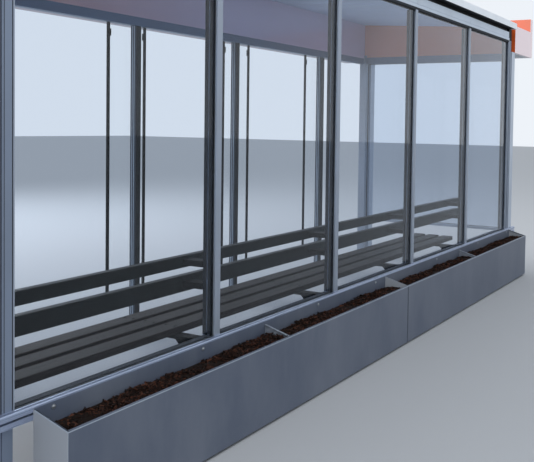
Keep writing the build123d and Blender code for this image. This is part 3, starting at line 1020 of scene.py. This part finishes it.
@dataclass
class BarkBed:
    """Loose bark laid over each planter's fill, chip by chip."""

    side: str
    seed: int
    heap: float = 0.0
    heap_width: float = 0.16
    heap_share: Span = (0.2, 1.0)
    chips: int = 9600
    length: Span = (0.008, 0.030)
    shorter: Span = (0.6, 1.0)
    width_share: Span = (0.25, 0.6)
    thickness_share: Span = (0.2, 0.5)
    tip: float = 0.45
    roll: float = 0.5
    uneven: Span = (0.65, 1.15)
    slack: float = 0.014
    mound: float = 0.013
    crown: float = 0.010
    layer: Span = (-0.006, 0.008)
    margin: float = 0.001

    def heights(self, x: np.ndarray, y: np.ndarray) -> np.ndarray:
        """Return the uneven surface that the chips lie on.

        Args:
            x: Places along the planter.
            y: Places across the planter.

        Returns:
            Height added to the fill's edge at each place.
        """
        # Three waves, each shorter and lower than the one before
        waves = np.sin(x * 9.1 + self.seed) * 0.5
        waves = waves + np.sin(x * 23.7 + 1.3 + y * 31) * 0.3
        waves = waves + np.sin(x * 51 + y * 64) * 0.2
        return self.mound * waves

    def places(self, random: np.random.Generator, low: Vector, high: Vector) -> np.ndarray:
        """Draw where the chips lie.

        Args:
            random: The bed's random numbers.
            low: Lowest corner of the fill.
            high: Highest corner of the fill.

        Returns:
            The middle of each chip.
        """
        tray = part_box(f"{self.side}_planter_tray")
        divider = (tray[0].x + tray[1].x) / 2
        x = random.uniform(low.x + self.slack, high.x - self.slack, self.chips)
        near = np.abs(x - divider) < self.slack
        x[near] += np.where(x[near] < divider, -2 * self.slack, 2 * self.slack)
        y = random.uniform(low.y + self.slack, high.y - self.slack, self.chips)
        across = (y - low.y) / (high.y - low.y) * 2 - 1
        z = high.z - self.crown * across**2 + self.heights(x, y) + random.uniform(*self.layer, self.chips)
        # The bark is pushed up against the divider, on the side that is seen first
        pushed = np.exp(-(((x - divider) / self.heap_width) ** 2)) * (x < divider)
        z = z + self.heap * pushed * random.uniform(*self.heap_share, self.chips)
        return np.stack([x, y, z], 1)

    def corners(self, random: np.random.Generator) -> np.ndarray:
        """Draw the chips' shapes and how they lie.

        Args:
            random: The bed's random numbers.

        Returns:
            Eight corners for each chip, round its middle.
        """
        count = self.chips
        long = random.uniform(*self.length, count) * random.uniform(*self.shorter, count)
        wide = long * random.uniform(*self.width_share, count)
        thick = wide * random.uniform(*self.thickness_share, count)
        spin = turns(random.uniform(0, math.pi, count), 0, 1)
        lean = turns(random.normal(0, self.tip, count), 2, 0)
        twist = turns(random.normal(0, self.roll, count), 1, 2)
        signs = np.array([(a, b, c) for a in (-1, 1) for b in (-1, 1) for c in (-1, 1)], float) / 2
        blocks = signs[None] * np.stack([long, wide, thick], 1)[:, None]
        blocks = blocks * random.uniform(*self.uneven, (count, 8, 3))
        return np.einsum("nij,njk,nkl,nml->nmi", spin, lean, twist, blocks)

    def build(self) -> None:
        """Scatter the chips between the divider and the planter's ends."""
        random = np.random.default_rng(self.seed)
        low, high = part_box(f"{self.side}_planter_bark")
        middles = self.places(random, low, high)
        placed = self.corners(random) + middles[:, None]
        placed[..., 0] = np.clip(placed[..., 0], low.x + self.margin, high.x - self.margin)
        placed[..., 1] = np.clip(placed[..., 1], low.y + self.margin, high.y - self.margin)
        faces = (np.array(BOX_FACES)[None] + 8 * np.arange(self.chips)[:, None, None]).reshape(-1, 4)
        shop = Shop([tuple(p) for p in placed.reshape(-1, 3)], [tuple(int(i) for i in f) for f in faces])
        shop.finish(f"{self.side}_bark_chips", BARK, "bark_mulch")


@dataclass
class Fixings:
    """Bolts, nuts and washers that a fitter would see."""

    plate_bolts: tuple[float, ...] = (-2.834, -1.949, -0.865, -0.085, 1.043, 2.069, 2.98)
    bolt_height: float = 0.441
    bolt_head: float = 0.0065
    anchor_reach: float = 0.025
    anchor_half: float = 0.035
    washer: Span = (0.013, 0.002)
    nut: Span = (0.0105, 0.010)
    stud: float = 0.006
    stud_tip: Span = (0.009, 0.011)
    stud_taper: float = 0.7
    seat_head: float = 0.0055
    seat_gauge: float = 0.030
    slats: int = 3
    slat_pitch: float = 0.142
    slat_middle: float = 0.0525
    bracket_middle: float = 0.030
    dome_rim: Span = (1.5, 0.16)
    dome_foot: float = 0.17
    dome_base: float = 0.2
    dome_height: float = 0.55
    dome_angles: tuple[float, ...] = (0.0, 0.5, 1.0, 1.35)

    def dome(self, shop: Shop, spot: Vector, axis: Vector, radius: float) -> None:
        """Add a washer with a domed head on it, its sizes as shares of the head's radius.

        Args:
            shop: Where the piece is gathered.
            spot: Centre on the surface.
            axis: Outward normal of the surface.
            radius: Radius of the head.
        """
        rim, rim_height = (radius * share for share in self.dome_rim)
        profile = [(rim, 0.0), (rim, rim_height), (radius, radius * self.dome_foot)]
        for angle in self.dome_angles:
            height = self.dome_base + self.dome_height * math.sin(angle)
            profile.append((radius * math.cos(angle), radius * height))
        shop.turned(spot, axis, profile, sides=14)

    def planter_bolts(self) -> None:
        """Fix the planters' back plates to the lower beam."""
        shop = Shop()
        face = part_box("left_planter_back")[0].y
        for x in self.plate_bolts:
            self.dome(shop, Vector((x, face, self.bolt_height)), Vector((0, -1, 0)), self.bolt_head)
        shop.finish("planter_bolts", BOLT_STEEL, "plate_steel")

    def anchors(self) -> None:
        """Stand a stud, nut and washer in each corner of each base plate."""
        shop = Shop()
        inner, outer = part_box("right_back_post")[0].x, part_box("canopy_posts")[1].x
        pair, pair_half = (inner + outer) / 2, (outer - inner) / 2 + self.anchor_reach
        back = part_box("back_mullions")[0].y + POST_MIDDLE
        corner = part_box("right_front_post")[1].y - POST_MIDDLE
        posts_low, posts_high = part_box("front_posts")
        front = (posts_low.y + posts_high.y) / 2
        groups = [(side.value * pair, y, pair_half) for side in Side for y in (back, corner)]
        groups += [(x, back, MULLION_WIDTH / 2 + self.anchor_reach) for x in MULLION_PLACES]
        groups += [(x, front, FRONT_POST_HALF + self.anchor_reach) for x in FRONT_POST_PLACES]
        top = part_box("base_plates")[1].z
        up = Vector((0, 0, 1))
        washer, washer_height = self.washer
        nut, nut_height = self.nut
        thread_end, tip = self.stud_tip
        stud = [(self.stud, 0.0), (self.stud, thread_end), (self.stud * self.stud_taper, tip)]
        for x, y, half in groups:
            for across in (-half, half):
                for along in (-self.anchor_half, self.anchor_half):
                    spot = Vector((x + across, y + along, top))
                    shop.turned(spot, up, [(washer, 0.0), (washer, washer_height)], sides=20)
                    shop.turned(spot + up * washer_height, up, [(nut, 0.0), (nut, nut_height)], sides=6)
                    shop.turned(spot + up * (washer_height + nut_height), up, stud, sides=12)
        shop.finish("anchor_nuts", ZINC, "plate_steel")

    def seat_bolts(self) -> None:
        """Set two coach bolts where each slat crosses a bracket."""
        shop = Shop()
        low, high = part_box("seat_slats")
        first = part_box("bench_brackets")[0].x + self.bracket_middle
        for x in (first, *MULLION_PLACES):
            for slat in range(self.slats):
                middle = low.y + self.slat_middle + slat * self.slat_pitch
                for gauge in (-self.seat_gauge, self.seat_gauge):
                    self.dome(shop, Vector((x, middle + gauge, high.z)), Vector((0, 0, 1)), self.seat_head)
        shop.finish("seat_bolts", BLACK_COAT, "black_steel")

    def build(self) -> None:
        """Make all the fixings."""
        self.planter_bolts()
        self.anchors()
        self.seat_bolts()


@dataclass(frozen=True)
class RibSet:
    """One kind of rib: its piece's name, the ribs' distance, and each one's width and height."""

    name: str
    pitch: float
    width: float
    height: float


@dataclass
class RoofSkin:
    """Ribs of the trapezoidal roof sheet above, and of the lining below."""

    sheet: RibSet = RibSet("roof_ribs", 0.25, 0.030, 0.018)
    lining: RibSet = RibSet("ceiling_ribs", 0.10, 0.012, 0.004)
    fall: float = math.tan(math.radians(3.43))
    margin: float = 0.02
    back_gap: float = 0.002
    front_gap: float = 0.042

    def ribs(self, kind: RibSet, level: float, start: float, end: float) -> None:
        """Lay one set of ribs along the fall of the roof.

        Args:
            kind: The ribs' name and sizes.
            level: Height of the ribs' foot at the back end.
            start: Back end along Y.
            end: Front end along Y.
        """
        shop = Shop()
        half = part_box("roof_panel")[1].x - self.margin
        count = int(2 * half / kind.pitch)
        first = -count * kind.pitch / 2
        rise = (end - start) * self.fall
        for k in range(count + 1):
            x = first + k * kind.pitch
            shop.bar((x - kind.width / 2, start, level), (x + kind.width / 2, end, level + kind.height), rise)
        shop.finish(kind.name, ROOF_COAT, "roof_sheet")

    def build(self) -> None:
        """Lay the ribs of the sheet and of the lining."""
        low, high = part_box("roof_panel")
        thickness = (high.z - low.z) - (high.y - low.y) * self.fall
        self.ribs(self.sheet, low.z + thickness, low.y, high.y)
        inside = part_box("back_mullions")[1].y + self.back_gap
        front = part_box("right_front_post")[1].y - self.front_gap
        level = low.z + (inside - low.y) * self.fall - self.lining.height
        self.ribs(self.lining, level, inside, front)


@dataclass
class ScreenClamps:
    """Small clamps that hold the narrow screens' glass in their frames."""

    centres: tuple[float, ...] = (-1.996, -0.660, 0.660, 1.996)
    half_width: float = 0.172
    heights: tuple[float, ...] = (0.40, 2.13)
    size: Point = (0.008, 0.022, 0.050)

    def build(self) -> None:
        """Put clamps on both uprights of each screen."""
        shop = Shop()
        wide, deep, high = self.size
        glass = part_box("screen_glass")
        middle = (glass[0].y + glass[1].y) / 2
        for x in self.centres:
            for hand in (-1, 1):
                edge = x + hand * self.half_width
                for z in self.heights:
                    shop.bar((edge, middle - deep / 2, z), (edge - hand * wide, middle + deep / 2, z + high))
        shop.finish("screen_clamps", BLACK_COAT, "black_steel")


@dataclass
class Camera:
    """The photograph's point of view: a 52 mm lens on a full frame, cropped off-centre."""

    place: Point = (-4.8448, -3.4534, 1.5194)
    yaw: float = math.radians(61.3234)
    pitch: float = math.radians(-2.0362)
    roll: float = math.radians(0.9153)
    focal_px: float = 771.77
    centre_px: Span = (342.96, 153.12)
    picture_px: tuple[int, int] = (534, 462)
    film_mm: float = 36.0
    far_clip: float = 200.0

    def build(self) -> None:
        """Create the camera and make it the scene's own."""
        width, height = self.picture_px
        data = bpy.data.cameras.new("view")
        data.sensor_fit = "HORIZONTAL"
        data.sensor_width = self.film_mm
        data.lens = self.focal_px / width * self.film_mm
        data.shift_x = (width / 2 - self.centre_px[0]) / width
        data.shift_y = (self.centre_px[1] - height / 2) / width
        data.clip_end = self.far_clip
        reach = math.cos(self.pitch)
        ahead = Vector((math.sin(self.yaw) * reach, math.cos(self.yaw) * reach, math.sin(self.pitch)))
        level = Vector((math.cos(self.yaw), -math.sin(self.yaw), 0.0))
        above = level.cross(ahead)
        right = level * math.cos(self.roll) + above * math.sin(self.roll)
        up = above * math.cos(self.roll) - level * math.sin(self.roll)
        turn = Matrix((right, up, -ahead)).transposed().to_4x4()
        camera = bpy.data.objects.new("camera", data)
        camera.matrix_world = Matrix.Translation(Vector(self.place)) @ turn
        bpy.context.scene.collection.objects.link(camera)
        bpy.context.scene.camera = camera
        LOG.info("camera: lens %.1f mm", data.lens)


@dataclass(frozen=True)
class Lamp:
    """A soft square lamp that looks at the middle of the shelter."""

    name: str
    place: Point
    size: float
    watts: float
    aim: Point = (0.0, 0.0, 1.0)

    def hang(self) -> None:
        """Hang the lamp and point it."""
        data = bpy.data.lights.new(self.name, "AREA")
        data.shape = "SQUARE"
        data.size = self.size
        data.energy = self.watts
        lamp = bpy.data.objects.new(self.name, data)
        lamp.location = self.place
        lamp.rotation_euler = (Vector(self.aim) - Vector(self.place)).to_track_quat("-Z", "Y").to_euler()
        bpy.context.scene.collection.objects.link(lamp)
        LOG.info("%s: %.0f W", self.name, self.watts)


@dataclass
class Studio:
    """Pale floor, white surround and soft lamps."""

    floor_half: float = 60.0
    floor_colour: str = "A9ACB0"
    floor_roughness: float = 0.9
    surround: str = "EEF3F9"
    lamps: tuple[Lamp, ...] = (
        Lamp("key_lamp", (-9.0, -5.0, 8.0), 5.0, 420.0),
        Lamp("front_lamp", (1.0, 9.0, 7.0), 6.0, 1000.0),
    )

    def floor(self) -> None:
        """Lay the floor."""
        half = self.floor_half
        mesh = bpy.data.meshes.new("floor")
        corners = [(-half, -half, 0), (half, -half, 0), (half, half, 0), (-half, half, 0)]
        mesh.from_pydata(corners, [], [(0, 1, 2, 3)])
        material = bpy.data.materials.new("studio_floor")
        material.use_nodes = True
        tree = material.node_tree
        plain = {"Base Color": linear(self.floor_colour), "Roughness": self.floor_roughness}
        feed(tree, tree.nodes["Principled BSDF"], plain)
        mesh.materials.append(material)
        floor = bpy.data.objects.new("floor", mesh)
        bpy.context.scene.collection.objects.link(floor)

    def world(self) -> None:
        """Set the surround: an even white that lights the shelter and shows in its panes."""
        world = bpy.data.worlds.new("surround")
        world.use_nodes = True
        tree = world.node_tree
        tree.nodes.clear()
        back = add(tree, "Background", {"Color": linear(self.surround), "Strength": 1.0})
        add(tree, "OutputWorld", {"Surface": back.outputs["Background"]})
        bpy.context.scene.world = world

    def build(self) -> None:
        """Build floor, surround and lamps."""
        self.floor()
        self.world()
        for lamp in self.lamps:
            lamp.hang()
        bpy.context.scene.view_settings.view_transform = "Standard"


def main() -> None:
    """Build the shelter's looks piece by piece."""
    Camera().build()
    CadDress(DRESSED_NODES).dress()
    GlazingTrim().build()
    InnerShadeSheets().build()
    CornerTrim().build()
    PostLines().build()
    PanelLips().build()
    PlanterEdges().build()
    BarkBed("left", 11, heap=0.020).build()
    BarkBed("right", 23).build()
    Fixings().build()
    RoofSkin().build()
    ScreenClamps().build()
    Studio().build()


if __name__ == "__main__":
    main()
